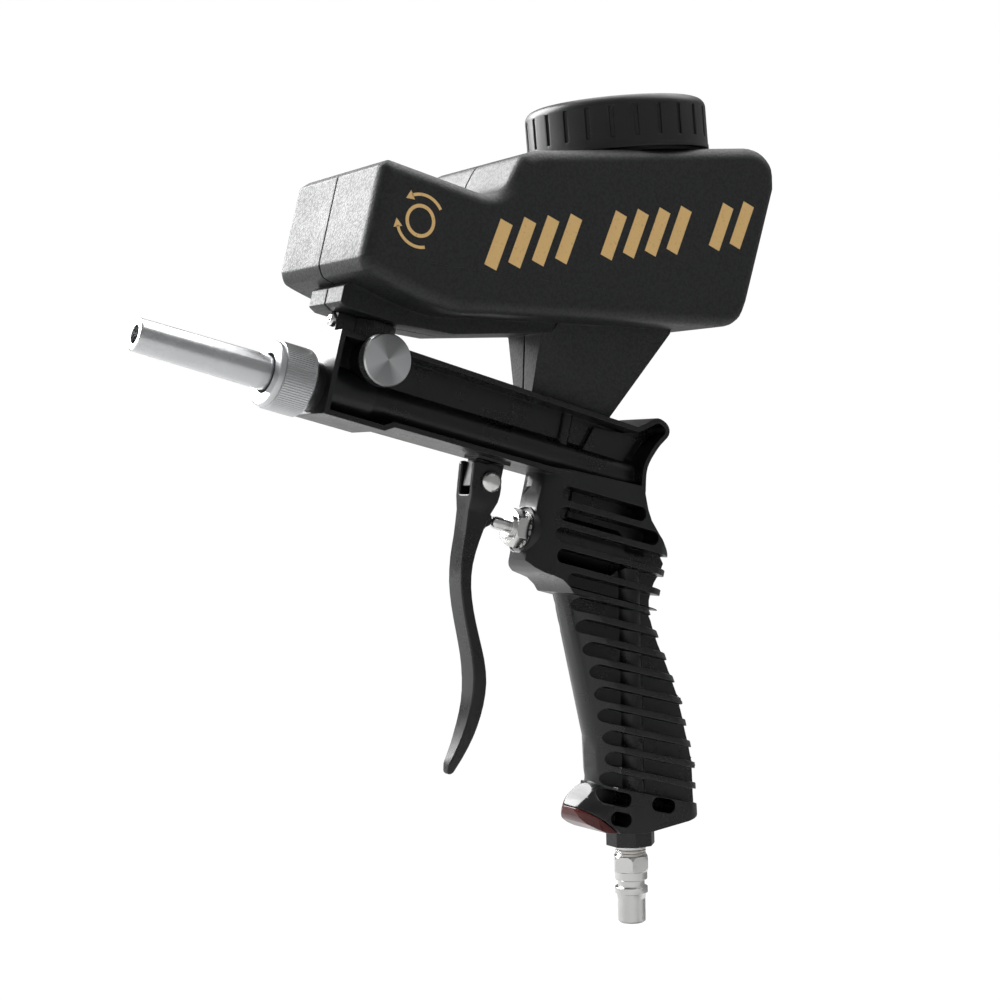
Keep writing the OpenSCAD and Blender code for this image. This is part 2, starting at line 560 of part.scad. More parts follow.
floor_front = hop_pt([58, 2.8]);
floor_back = hop_pt([168, 29]);
function floor_z(x) = floor_front[1] + (x - floor_front[0])
    * (floor_back[1] - floor_front[1]) / (floor_back[0] - floor_front[0]);
foot_x0 = 93;
foot_x1 = 132;
leg_x0 = 87.5;
leg_x1 = 150;
// tapered leg under the hopper, drawn in by t all round
module leg(t) hull() {
    slab(-keel_half + 0.3 + t, keel_half - 0.3 - t) polygon([
        [leg_x0 + t, floor_z(leg_x0) - 2], [leg_x1 - t, floor_z(leg_x1) - 2 + t/3],
        [leg_x1 - t, floor_z(leg_x1) + 1 - t], [leg_x0 + t, floor_z(leg_x0) + 1 - t]]);
    slab(-foot_w/2 + t, foot_w/2 - t) polygon([
        [foot_x0 + t, foot_z(foot_x0) + t], [foot_x1 - t, foot_z(foot_x1) + t],
        [foot_x1 - t, foot_z(foot_x1) + 1 + t], [foot_x0 + t, foot_z(foot_x0) + 1 + t]]);
}
post_pts = [[12, 36], [70, 18], [168, 48], [166, 92]];
post_r = 4.4;
head_r = 3;
head_y = 14;
plateau_front = hop_pt([66, 72]);
plateau_back = hop_pt([158.5, 104]);
top_tilt = atan((plateau_back[1] - plateau_front[1]) / (plateau_back[0] - plateau_front[0]));
cap_base = hop_pt([125, 92.41]);
module at_cap() translate([cap_base[0], 0, cap_base[1]]) rotate([0, -top_tilt, 0]) children();
collar_r = cap_r - cap_wall - 0.2;
mouth_r = collar_r - 4.6;
module outlet_and_mouth() {
    translate([feed_x, 0, frame_top]) cylinder(r = spigot_r - 1.6, h = keel_z - frame_top + hop_wall + 2);
    at_cap() translate([0, 0, -12]) cylinder(r = mouth_r + 2.4, h = 30);
}
module hollow_leg() difference() {
    leg(0);
    leg(hop_wall);
    slab(-hop_half, hop_half) hop_outline();
}
module hopper_shape() difference() {
    union() {
        difference() {
            union() {
                slab(-hop_half, hop_half) hop_outline();
                slab(-keel_half, keel_half) keel_outline();
            }
            slab(-hop_half + hop_wall, hop_half - hop_wall) offset(delta = -hop_wall) hop_outline();
            slab(-keel_half + hop_wall, keel_half - hop_wall) offset(delta = -hop_wall) keel_outline();
        }
        hollow_leg();
        translate([feed_x, 0, frame_top + neck_seat + 1.1]) cylinder(r = spigot_r, h = keel_z - frame_top);
        translate([tongue_x, -tongue_w/2, foot_z(tongue_x) - tongue_h])
            cube([tongue_len, tongue_w, tongue_h + 1]);
        for (p = post_pts)
            along_y(-hop_half + 1, hop_half - 1, post_r, hop_pt(p)[0], hop_pt(p)[1]);
    }
    outlet_and_mouth();
}
module screw_holes() for (p = post_pts) {
    along_y(-16, hop_half + 1, screw_r + 0.1, hop_pt(p)[0], hop_pt(p)[1]);
    along_y(head_y, hop_half + 1, head_r + 0.3, hop_pt(p)[0], hop_pt(p)[1]);
}
module hopper_left_shell() color([0.09, 0.09, 0.09]) difference() {
    intersection() {
        hopper_shape();
        translate([-50, -60 - seam_gap, -20]) cube([300, 60, 240]);
    }
    screw_holes();
}
module hopper_right_shell() color([0.09, 0.09, 0.09]) difference() {
    intersection() {
        hopper_shape();
        translate([-50, seam_gap, -20]) cube([300, 60, 240]);
    }
    screw_holes();
}
module seam_outline() {
    hop_outline();
    keel_outline();
}
module hopper_gasket() color([0.02, 0.02, 0.02]) difference() {
    slab(-seam_gap, seam_gap) difference() {
        offset(delta = -0.7) seam_outline();
        offset(delta = 0.6 - hop_wall) seam_outline();
    }
    outlet_and_mouth();
}
module hopper_screws() color([0.7, 0.7, 0.72]) for (p = post_pts) let (q = hop_pt(p)) difference() {
    union() {
        along_y(-14, head_y, screw_r, q[0], q[1]);
        along_y(head_y, head_y + 2, head_r, q[0], q[1]);
    }
    translate([q[0], head_y + 1, q[1]]) for (a = [0, 90])
        rotate([0, a, 0]) translate([-1.6, 0, -0.4]) cube([3.2, 2, 0.8]);
}

// ---------- filler ----------
collar_h = 16;
skirt_z = 1.1;
liner_t = 1.2;
cap_top = skirt_z + cap_h;
module filler_collar() color([0.09, 0.09, 0.09]) at_cap() difference() {
    union() {
        translate([0, 0, 0.9]) cylinder(r = collar_r, h = collar_h - 0.9);
        translate([0, 0, -6]) cylinder(r = mouth_r + 2.2, h = 8);
    }
    translate([0, 0, -10]) cylinder(r = mouth_r, h = 50);
}
module collar_gasket() color([0.05, 0.05, 0.05])
    at_cap() translate([0, 0, 0.1]) ring(collar_r, mouth_r + 2.5, 0.7);
module cap_liner() color([0.75, 0.75, 0.72])
    at_cap() translate([0, 0, collar_h + 0.05]) ring(collar_r - 0.4, mouth_r - 3, liner_t);
module filler_cap() color([0.05, 0.05, 0.05]) at_cap() difference() {
    rotate_extrude($fn = 96) polygon(concat(
        [[0, collar_h + liner_t + 0.1], [collar_r + 0.2, collar_h + liner_t + 0.1],
         [collar_r + 0.2, skirt_z], [cap_r + 0.2, skirt_z], [cap_r + 0.2, skirt_z + 1.6],
         [cap_r, skirt_z + 2.4], [cap_r, cap_top - 4]],
        arc(cap_r - 4, cap_top - 4, 4, 15, 90, 5), [[0, cap_top]]));
    for (i = [0 : cap_slots - 1]) rotate([0, 0, (i + 0.5)*360/cap_slots])
        translate([cap_r - 0.8, -0.9, skirt_z + 4.6]) cube([2, 1.8, cap_h - 9]);
}

gun_body();
toe_insert();
inlet_bush();
inlet_plug();
nozzle_tube();
nozzle_nut();
nozzle_gasket();
air_jet();
outlet_neck();
neck_seal();
neck_screw();
feed_shaft();
shaft_seals();
shaft_clip();
feed_knob();
knob_grub_screw();
trigger_lever();
trigger_pin();
trigger_clip();
gland_nut();
lock_washer();
valve_stem();
stem_packing();
valve_poppet();
poppet_seal();
valve_seat();
valve_spring();
spring_stop();
hopper_left_shell();
hopper_right_shell();
hopper_gasket();
hopper_screws();
filler_collar();
collar_gasket();
filler_cap();
cap_liner();
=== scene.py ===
import contextlib
import json
import math

import bmesh
import bpy
from mathutils import Matrix, Vector
from mathutils.bvhtree import BVHTree

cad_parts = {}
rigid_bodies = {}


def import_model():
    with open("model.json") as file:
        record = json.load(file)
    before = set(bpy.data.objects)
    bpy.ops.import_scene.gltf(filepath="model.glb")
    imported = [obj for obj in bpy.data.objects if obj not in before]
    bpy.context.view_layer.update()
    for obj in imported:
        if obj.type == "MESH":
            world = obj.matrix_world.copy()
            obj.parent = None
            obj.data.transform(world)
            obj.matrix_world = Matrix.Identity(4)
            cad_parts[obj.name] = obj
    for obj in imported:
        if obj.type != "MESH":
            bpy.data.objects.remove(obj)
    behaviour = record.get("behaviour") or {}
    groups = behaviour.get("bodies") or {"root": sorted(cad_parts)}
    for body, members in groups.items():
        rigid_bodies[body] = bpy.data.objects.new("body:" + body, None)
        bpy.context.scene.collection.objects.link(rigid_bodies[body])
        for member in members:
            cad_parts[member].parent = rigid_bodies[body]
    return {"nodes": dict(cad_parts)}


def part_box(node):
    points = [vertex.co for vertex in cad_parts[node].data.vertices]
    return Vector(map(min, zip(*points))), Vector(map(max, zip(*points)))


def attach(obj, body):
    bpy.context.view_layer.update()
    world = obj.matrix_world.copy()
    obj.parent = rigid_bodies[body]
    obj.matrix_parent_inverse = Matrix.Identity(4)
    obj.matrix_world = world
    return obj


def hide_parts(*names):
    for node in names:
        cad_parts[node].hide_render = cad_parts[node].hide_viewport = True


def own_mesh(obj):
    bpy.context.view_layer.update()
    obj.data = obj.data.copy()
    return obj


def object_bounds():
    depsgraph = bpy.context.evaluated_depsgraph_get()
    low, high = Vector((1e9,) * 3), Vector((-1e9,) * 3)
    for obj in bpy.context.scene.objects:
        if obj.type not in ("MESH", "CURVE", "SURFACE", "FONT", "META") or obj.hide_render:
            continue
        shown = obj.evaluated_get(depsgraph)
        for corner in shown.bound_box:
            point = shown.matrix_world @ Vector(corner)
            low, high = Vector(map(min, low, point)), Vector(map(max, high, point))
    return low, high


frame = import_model()
CAD_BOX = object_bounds()

bl_info = {
    "name": "Gravity feed sandblaster gun",
    "version": (1, 0, 0),
    "blender": (4, 5, 0),
    "location": "View3D > Sidebar > Blaster",
    "description": "Builds the looks of a sandblaster gun round its packed frame",
    "category": "Object",
}

MM = 0.001


# ---------------------------------------------------------------- sizes and colours

class BodyLooks(bpy.types.PropertyGroup):
    plastic: bpy.props.FloatVectorProperty(
        name="Gun plastic", description="Colour of the moulded gun body",
        subtype="COLOR", size=3, default=(0.006, 0.006, 0.007), min=0, max=1)
    gloss: bpy.props.FloatProperty(
        name="Roughness", description="Roughness of the gun body's plastic",
        subtype="FACTOR", default=0.27, min=0.05, max=0.9)
    edge: bpy.props.FloatProperty(
        name="Edge radius", description="Radius along the moulding's edges",
        subtype="DISTANCE", unit="LENGTH", default=0.35 * MM, min=0.05 * MM, max=0.8 * MM)
    toe: bpy.props.FloatVectorProperty(
        name="Toe plug", description="Colour of the plug under the grip",
        subtype="COLOR", size=3, default=(0.07, 0.005, 0.004), min=0, max=1)


class MetalLooks(bpy.types.PropertyGroup):
    knurls: bpy.props.IntProperty(
        name="Nut knurls", description="Number of teeth round the nozzle nut",
        default=84, min=40, max=140)
    knob_knurls: bpy.props.IntProperty(
        name="Knob knurls", description="Number of teeth round the feed knob",
        default=72, min=30, max=120)
    knurl_depth: bpy.props.FloatProperty(
        name="Knurl depth", description="Depth of the grooves between teeth",
        subtype="DISTANCE", unit="LENGTH", default=0.35 * MM, min=0.1 * MM, max=0.8 * MM)
    aluminium: bpy.props.FloatVectorProperty(
        name="Aluminium", description="Colour of the turned aluminium",
        subtype="COLOR", size=3, default=(0.64, 0.65, 0.66), min=0, max=1)
    steel: bpy.props.FloatVectorProperty(
        name="Plated steel", description="Colour of the plated steel",
        subtype="COLOR", size=3, default=(0.78, 0.78, 0.77), min=0, max=1)


class HopperLooks(bpy.types.PropertyGroup):
    plastic: bpy.props.FloatVectorProperty(
        name="Hopper plastic", description="Colour of the grained hopper",
        subtype="COLOR", size=3, default=(0.011, 0.012, 0.0125), min=0, max=1)
    rounding: bpy.props.FloatProperty(
        name="Side rounding", description="Radius along the edges of the hopper's sides",
        subtype="DISTANCE", unit="LENGTH", default=5.6 * MM, min=1 * MM, max=6 * MM)
    grain: bpy.props.FloatProperty(
        name="Grain size", description="Width of one pebble of the moulded grain",
        subtype="DISTANCE", unit="LENGTH", default=1.1 * MM, min=0.4 * MM, max=3 * MM)
    print_colour: bpy.props.FloatVectorProperty(
        name="Print", description="Colour of the printed marks",
        subtype="COLOR", size=3, default=(0.88, 0.58, 0.235), min=0, max=1)
    cap: bpy.props.FloatVectorProperty(
        name="Cap", description="Colour of the screw cap",
        subtype="COLOR", size=3, default=(0.009, 0.009, 0.01), min=0, max=1)


class StageLooks(bpy.types.PropertyGroup):
    floor: bpy.props.FloatVectorProperty(
        name="Floor", description="Colour of the floor and backdrop",
        subtype="COLOR", size=3, default=(0.52, 0.52, 0.52), min=0, max=1)
    sky: bpy.props.FloatProperty(
        name="Studio brightness", description="Brightness of the studio all round",
        default=0.42, min=0, max=5)
    back: bpy.props.FloatProperty(
        name="Back light", description="Power of the large light behind and to the left",
        unit="POWER", default=58, min=0, max=1000)
    top: bpy.props.FloatProperty(
        name="Top light", description="Power of the light above",
        unit="POWER", default=18, min=0, max=1000)


SETTINGS = {"gun_body": BodyLooks, "gun_metal": MetalLooks, "gun_hopper": HopperLooks,
            "gun_stage": StageLooks}


# ---------------------------------------------------------------- modelling helpers

def deselect():
    for thing in bpy.context.view_layer.objects:
        thing.select_set(False)


def activate(thing):
    deselect()
    thing.hide_viewport = False
    thing.select_set(True)
    bpy.context.view_layer.objects.active = thing


@contextlib.contextmanager
def editing(thing, mode="FACE"):
    """Edit mode on one object, with nothing selected."""
    activate(thing)
    bpy.ops.object.mode_set(mode="EDIT")
    bpy.ops.mesh.select_mode(type=mode)
    bpy.ops.mesh.select_all(action="DESELECT")
    yield thing
    bpy.ops.object.mode_set(mode="OBJECT")


def pick(thing, kind, test):
    """Selects the verts, edges or faces that pass a test, in edit mode."""
    mesh = bmesh.from_edit_mesh(thing.data)
    for part in getattr(mesh, kind):
        part.select_set(test(part))
    mesh.select_flush_mode()
    bmesh.update_edit_mesh(thing.data)


def modify(thing, kind, **settings):
    """Adds one modifier and applies it."""
    activate(thing)
    bpy.ops.object.modifier_add(type=kind)
    modifier = thing.modifiers[-1]
    for name, value in settings.items():
        setattr(modifier, name, value)
    bpy.ops.object.modifier_apply(modifier=modifier.name)


SOURCES = {}                        # the CAD node that each copy came from


def copy_of(node, name):
    """A copy of a CAD node's mesh with its loose triangles merged into flat faces."""
    source = frame["nodes"][node]
    made = bpy.data.objects.new(name, source.data.copy())
    SOURCES[made.name] = node
    bpy.context.scene.collection.objects.link(made)
    with editing(made, "VERT"):
        bpy.ops.mesh.select_all(action="SELECT")
        bpy.ops.mesh.remove_doubles(threshold=0.004 * MM)
        bpy.ops.mesh.customdata_custom_splitnormals_clear()
        bpy.ops.mesh.dissolve_limited(angle_limit=math.radians(0.6))
    return made


def settle_strays(thing, reach):
    """Pulls corner points that a bevel threw off the piece back onto its CAD surface."""
    cad = frame["nodes"][SOURCES[thing.name]]
    surface = BVHTree.FromPolygons([v.co for v in cad.data.vertices],
                                   [f.vertices for f in cad.data.polygons])
    strays = [v.index for v in thing.data.vertices if surface.find_nearest(v.co)[3] > reach]
    if strays:
        group = thing.vertex_groups.new(name="strays")
        group.add(strays, 1.0, "REPLACE")
        modify(thing, "SHRINKWRAP", target=cad, vertex_group="strays")
        thing.vertex_groups.clear()


def soften(thing, radius, segments=2, angle=38, smooth=38):
    """Rounds every edge sharper than angle and shades the rest smooth."""
    modify(thing, "BEVEL", width=radius, segments=segments, limit_method="ANGLE",
           angle_limit=math.radians(angle), use_clamp_overlap=False, miter_outer="MITER_ARC",
           loop_slide=False)
    if thing.name in SOURCES:
        settle_strays(thing, radius * 0.6)
    shade(thing, smooth)


def shade(thing, smooth=38):
    activate(thing)
    bpy.ops.object.shade_smooth_by_angle(angle=math.radians(smooth))
    modify(thing, "WEIGHTED_NORMAL", mode="FACE_AREA", weight=80, keep_sharp=True)


TURNING = {"X": (Vector((1, 0, 0)), Vector((0, 0, 1))), "Y": (Vector((0, 1, 0)), Vector((1, 0, 0)))}


def turned(name, outline, centre, axis, steps=96, smooth=30):
    """A turned piece: an outline of (place along the axis, radius) spun round the centre."""
    along, across = TURNING[axis]
    offset = Vector(centre) - along * Vector(centre).dot(along)
    places = [along * a + across * r + offset for a, r in outline]
    if outline[0][1] > 0:
        places.append(places[0])
    deselect()
    bpy.ops.mesh.primitive_plane_add(size=MM, location=(0, 0, 0))
    made = bpy.context.object
    made.name = name
    with editing(made, "VERT"):
        bpy.ops.mesh.select_all(action="SELECT")
        bpy.ops.mesh.merge(type="CENTER")
        bpy.ops.transform.translate(value=places[0])
        for a, b in zip(places, places[1:]):
            bpy.ops.mesh.extrude_region_move(TRANSFORM_OT_translate={"value": b - a})
        bpy.ops.mesh.select_all(action="SELECT")
        bpy.ops.mesh.remove_doubles(threshold=0.001 * MM)
        bpy.ops.mesh.select_all(action="SELECT")
        bpy.ops.mesh.spin(steps=steps, angle=math.tau, center=centre, axis=along)
        bpy.ops.mesh.select_all(action="SELECT")
        bpy.ops.mesh.remove_doubles(threshold=0.002 * MM)
        bpy.ops.mesh.select_all(action="SELECT")
        bpy.ops.mesh.normals_make_consistent(inside=False)
    activate(made)
    bpy.ops.object.shade_smooth_by_angle(angle=math.radians(smooth))
    return made


def knurl(thing, centre, axis, teeth, band, rim, depth):
    """Presses straight grooves into a turned rim between two places along its axis."""
    along = "XYZ".index(axis)
    side = 1 - along

    def grooved(vert):
        arm = vert.co - Vector(centre)
        turn = math.atan2(arm[side], arm.z) / math.tau * teeth
        outside = math.hypot(arm[side], arm.z) > rim - 0.3 * MM
        return outside and band[0] <= vert.co[along] <= band[1] and abs(turn - round(turn)) < 0.2

    with editing(thing, "VERT"):
        pick(thing, "verts", grooved)
        shrink = [1.0 - depth / rim] * 3
        shrink[along] = 1.0
        bpy.ops.transform.resize(value=shrink, center_override=centre)
    activate(thing)
    bpy.ops.object.shade_smooth_by_angle(angle=math.radians(25))


def joined(name, pieces):
    """Several closed pieces as one object."""
    deselect()
    for piece in pieces:
        piece.select_set(True)
    bpy.context.view_layer.objects.active = pieces[0]
    if len(pieces) > 1:
        bpy.ops.object.join()
    pieces[0].name = name
    return settle(pieces[0])


def settle(thing):
    """Applies the object's place to its mesh, so that it sits at the origin."""
    activate(thing)
    bpy.ops.object.transform_apply(location=True, rotation=True, scale=True)
    return thing


def hand_over(thing, body, finish, slot, *nodes):
    """Puts a finished piece on its body, with its material, in place of its CAD nodes."""
    thing.data.materials.clear()
    thing.data.materials.append(finish)
    for face in thing.data.polygons:
        face.material_index = 0
    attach(thing, body)
    if nodes:
        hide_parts(*nodes)
    return thing


def dress(finish, *nodes):
    """Gives CAD nodes that stay a material."""
    for node in nodes:
        for place in frame["nodes"][node].material_slots:
            place.material = finish


# ---------------------------------------------------------------- materials

class Wire:
    """A number running through a material; sums on it add Math nodes."""

    def __init__(self, maker, socket):
        self.maker, self.socket = maker, socket

    def _with(self, operation, *others, flip=False):
        parts = [self, *others]
        if flip:
            parts.reverse()
        node = self.maker.node("ShaderNodeMath", {"operation": operation}, dict(enumerate(parts)))
        return self.maker.wire(node)

    def __add__(self, other):
        return self._with("ADD", other)

    def __radd__(self, other):
        return self._with("ADD", other)

    def __sub__(self, other):
        return self._with("SUBTRACT", other)

    def __rsub__(self, other):
        return self._with("SUBTRACT", other, flip=True)

    def __mul__(self, other):
        return self._with("MULTIPLY", other)

    def __rmul__(self, other):
        return self._with("MULTIPLY", other)

    def __truediv__(self, other):
        return self._with("DIVIDE", other)

    def __pow__(self, other):
        return self._with("POWER", other)

    def apply(self, operation, *others):
        return self._with(operation, *others)


class Finish:
    """One material and the nodes that make it."""

    def __init__(self, name, **constants):
        self.material = bpy.data.materials.new(name)
        self.material.use_nodes = True
        self.tree = self.material.node_tree
        self.shader = self.tree.nodes["Principled BSDF"]
        for socket, value in constants.items():
            self.shader.inputs[socket.replace("_", " ")].default_value = value

    def node(self, kind, settings=None, sockets=None):
        made = self.tree.nodes.new(kind)
        for name, value in (settings or {}).items():
            setattr(made, name, value)
        for place, value in (sockets or {}).items():
            self.feed(made.inputs[place], value)
        return made

    def feed(self, socket, value):
        if isinstance(value, Wire):
            self.tree.links.new(value.socket, socket)
        elif isinstance(value, bpy.types.NodeSocket):
            self.tree.links.new(value, socket)
        else:
            socket.default_value = value

    def wire(self, node, output=0):
        return Wire(self, node.outputs[output])

    def drive(self, **links):
        for socket, value in links.items():
            self.feed(self.shader.inputs[socket.replace("_", " ")], value)

    def place(self):
        """The point on the piece, in metres, as a vector socket."""
        return self.node("ShaderNodeTexCoord").outputs["Object"]

    def axes(self, vector):
        split = self.node("ShaderNodeSeparateXYZ", sockets={0: vector})
        return [self.wire(split, i) for i in range(3)]

    def noise(self, vector, scale, detail=3.0, roughness=0.5):
        return self.wire(self.node("ShaderNodeTexNoise", None, {
            "Vector": vector, "Scale": scale, "Detail": detail, "Roughness": roughness}))

    def blend(self, mask, low, high):
        """A colour that runs from low to high as the mask goes from 0 to 1."""
        mix = self.node("ShaderNodeMix", {"data_type": "RGBA"})
        self.feed(mix.inputs[0], mask)
        self.feed(mix.inputs[6], low)
        self.feed(mix.inputs[7], high)
        return mix.outputs[2]

    def limits(self, value, low, high, to_low=0.0, to_high=1.0):
        return self.wire(self.node("ShaderNodeMapRange", {"clamp": True}, {
            "Value": value, "From Min": low, "From Max": high, "To Min": to_low, "To Max": to_high}))

    def bump(self, height, depth, strength):
        made = self.node("ShaderNodeBump", None, {
            "Strength": strength, "Distance": depth, "Height": height})
        return made.outputs["Normal"]


def shaded(colour, factor):
    return tuple(min(1.0, c * factor) for c in colour) + (1.0,)


def moulded_black(name, colour, roughness, grain=0.02):
    """Glossy moulded nylon with faint flow marks and handling wear."""
    f = Finish(name, IOR=1.5)
    at = f.place()
    cloud = f.noise(at, 60.0, 4.0)
    fine = f.noise(at, 1500.0, 2.0)
    f.drive(
        Base_Color=f.blend(cloud, shaded(colour, 0.75), shaded(colour, 1.5)),
        Roughness=f.limits(cloud + fine * 0.3, 0.35, 1.0, roughness - 0.05, roughness + 0.13),
        Normal=f.bump(fine + cloud * 0.4, grain * MM, 0.7))
    return f.material


def pebbled_black(name, colour, grain):
    """Matt moulded plastic with a pebble grain; its colour is darker in the grain's hollows and lighter on
    the pebbles, as painted shade and painted highlight.
    """
    f = Finish(name, IOR=1.48)
    at = f.place()
    warp = f.node("ShaderNodeVectorMath", {"operation": "MULTIPLY_ADD"}, {
        0: f.node("ShaderNodeTexNoise", None, {"Vector": at, "Scale": 380.0, "Detail": 1.0}).outputs["Color"],
        1: (grain * 0.7,) * 3, 2: at}).outputs[0]
    cells = f.wire(f.node("ShaderNodeTexVoronoi", {"feature": "SMOOTH_F1"}, {
        "Vector": warp, "Scale": 1.0 / grain, "Smoothness": 0.5}))
    cloud = f.noise(at, 45.0, 4.0)
    hollow = f.limits(cells, 0.25, 0.75)
    # painted shade and highlight: colour darker in the hollows between pebbles, lighter on their tops
    f.drive(
        Base_Color=f.blend(hollow, shaded(colour, 1.25), shaded(colour, 0.6)),
        Roughness=f.limits(cloud + hollow * 0.5, 0.3, 1.2, 0.42, 0.58),
        Normal=f.bump(1.0 - hollow, 0.05 * MM, 0.8))
    return f.material


def turned_metal(name, colour, roughness, pitch, depth, centre=None):
    """Turned metal: fine tool rings along X, or a spun face round a centre whose colour carries four painted
    reflection sectors, light and dark.
    """
    f = Finish(name, Metallic=1.0)
    at = f.place()
    x, y, z = f.axes(at)
    stain = f.noise(at, 55.0, 5.0)
    if centre is None:
        along, stain_and_sector_sheen = x, stain
    else:
        dx, dz = x - centre[0], z - centre[2]
        reach = dx * dx + dz * dz
        along = reach ** 0.5
        # painted reflection: cos 2θ round the centre paints four light and dark sectors into the colour, like
        # the streaked sheen of a spun face
        painted_sector_sheen = (dx * dx - dz * dz) / (reach + 1e-7)
        stain_and_sector_sheen = f.limits(painted_sector_sheen + stain * 0.3, -0.5, 0.7)
    cut = f.noise(at, 220.0, 2.0)
    rings = (along * (math.tau / pitch) + cut * 1.5).apply("SINE")
    # on a spun face the 0.5 end is the painted shade of the dark sectors; along X it is real stain
    dark = 0.88 if centre is None else 0.5
    f.drive(
        Base_Color=f.blend(stain_and_sector_sheen, shaded(colour, dark), shaded(colour, 1.04)),
        Roughness=f.limits(stain + rings * 0.08, 0.3, 0.8, roughness - 0.05, roughness + 0.1),
        Normal=f.bump(rings, depth, 0.8))
    return f.material


def plated(name, colour, roughness):
    """Bright plated or bare metal with faint stains and fine scratches."""
    f = Finish(name, Metallic=1.0)
    at = f.place()
    stain = f.noise(at, 90.0, 5.0, 0.6)
    fine = f.noise(at, 1300.0, 3.0, 0.7)
    f.drive(
        Base_Color=f.blend(stain, shaded(colour, 0.85), shaded(colour, 1.06)),
        Roughness=f.limits(stain + fine * 0.3, 0.35, 0.95, roughness - 0.04, roughness + 0.14),
        Normal=f.bump(fine, 0.012 * MM, 0.6))
    return f.material


def soft_material(name, colour, roughness, scale, depth):
    """Rubber, foam or PTFE: a matt colour with a fine skin."""
    f = Finish(name, IOR=1.5)
    at = f.place()
    skin = f.noise(at, scale, 4.0, 0.6)
    f.drive(
        Base_Color=f.blend(skin, shaded(colour, 0.8), shaded(colour, 1.15)),
        Roughness=f.limits(skin, 0.3, 0.7, roughness - 0.06, roughness + 0.08),
        Normal=f.bump(skin, depth, 0.6))
    return f.material


def printed_ink(name, colour):
    """Screen printed ink, slightly worn where the grain stands proud."""
    f = Finish(name, IOR=1.45)
    at = f.place()
    wear = f.noise(at, 900.0, 4.0, 0.7)
    f.drive(
        Base_Color=f.blend(f.limits(wear, 0.3, 0.42), shaded(colour, 0.72), shaded(colour, 1.0)),
        Roughness=f.limits(wear, 0.3, 0.7, 0.45, 0.6),
        Normal=f.bump(wear, 0.03 * MM, 0.5))
    return f.material


def backdrop_paper(name, colour):
    """Pale seamless paper, nearly white where it's seen straight."""
    f = Finish(name, Roughness=0.9)
    fibre = f.noise(f.place(), 400.0, 3.0)
    f.drive(Base_Color=f.blend(fibre, shaded(colour, 0.98), shaded(colour, 1.0)))
    glow = f.node("ShaderNodeEmission", None, {"Color": (1, 1, 1, 1), "Strength": 1.06})
    seen = f.wire(f.node("ShaderNodeLightPath"))
    mix = f.node("ShaderNodeMixShader", None, {0: seen * 0.94, 1: f.shader.outputs[0], 2: glow.outputs[0]})
    output = f.tree.nodes["Material Output"]
    f.tree.links.new(mix.outputs[0], output.inputs["Surface"])
    return f.material


FINISHES = {}


def finish_for(key):
    """The material of that name, made the first time it's asked for."""
    scene = bpy.context.scene
    body, metal, hopper = scene.gun_body, scene.gun_metal, scene.gun_hopper
    steel, aluminium = tuple(metal.steel), tuple(metal.aluminium)
    makers = {
        "gun_plastic": lambda: moulded_black("gun_plastic", body.plastic, body.gloss),
        "toe_plastic": lambda: moulded_black("toe_plastic", body.toe, 0.2),
        "hopper_plastic": lambda: pebbled_black("hopper_plastic", hopper.plastic, hopper.grain),
        "cap_plastic": lambda: moulded_black("cap_plastic", hopper.cap, 0.36, 0.035),
        "turned_aluminium": lambda: turned_metal(
            "turned_aluminium", aluminium, 0.25, 0.45 * MM, 0.012 * MM),
        "knurled_aluminium": lambda: plated("knurled_aluminium", aluminium, 0.3),
        "spun_face": lambda: turned_metal(
            "spun_face", aluminium, 0.3, 0.32 * MM, 0.012 * MM, middle("feed_knob")),
        "bright_steel": lambda: plated("bright_steel", steel, 0.16),
        "dark_steel": lambda: plated("dark_steel", (0.2, 0.2, 0.22), 0.32),
        "nozzle_brass": lambda: plated("nozzle_brass", (0.78, 0.58, 0.27), 0.25),
        "seal_rubber": lambda: soft_material("seal_rubber", (0.012, 0.012, 0.012), 0.6, 900.0, 0.03 * MM),
        "packing_ptfe": lambda: soft_material("packing_ptfe", (0.82, 0.82, 0.8), 0.4, 500.0, 0.02 * MM),
        "liner_foam": lambda: soft_material("liner_foam", (0.68, 0.68, 0.65), 0.8, 1400.0, 0.08 * MM),
        "print": lambda: printed_ink("print_tan", hopper.print_colour),
    }
    if key not in FINISHES:
        FINISHES[key] = makers[key]()
    return FINISHES[key]


# ---------------------------------------------------------------- places taken from the frame

def middle(node):
    low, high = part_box(node)
    return (low + high) / 2


# ---------------------------------------------------------------- gun pieces

class GUN_OT_body(bpy.types.Operator):
    """Moulded gun body and the plug under its toe"""
    bl_idname = "gun.body"
    bl_label = "Gun body"

    def execute(self, context):
        looks = context.scene.gun_body
        body = copy_of("gun_body", "body_moulding")
        soften(body, looks.edge)
        hand_over(body, "gun", finish_for("gun_plastic"), "gun_plastic", "gun_body")
        toe = copy_of("toe_insert", "toe_plug")
        soften(toe, looks.edge)
        hand_over(toe, "gun", finish_for("toe_plastic"), "toe_plastic", "toe_insert")
        return {"FINISHED"}


class GUN_OT_nozzle(bpy.types.Operator):
    """Turned nozzle tube with a rounded, chamfered mouth"""
    bl_idname = "gun.nozzle"
    bl_label = "Nozzle"

    def execute(self, context):
        tube = copy_of("nozzle_tube", "nozzle")
        soften(tube, 0.25 * MM, 3)
        hand_over(tube, "gun", finish_for("turned_aluminium"), "turned_aluminium", "nozzle_tube")
        return {"FINISHED"}


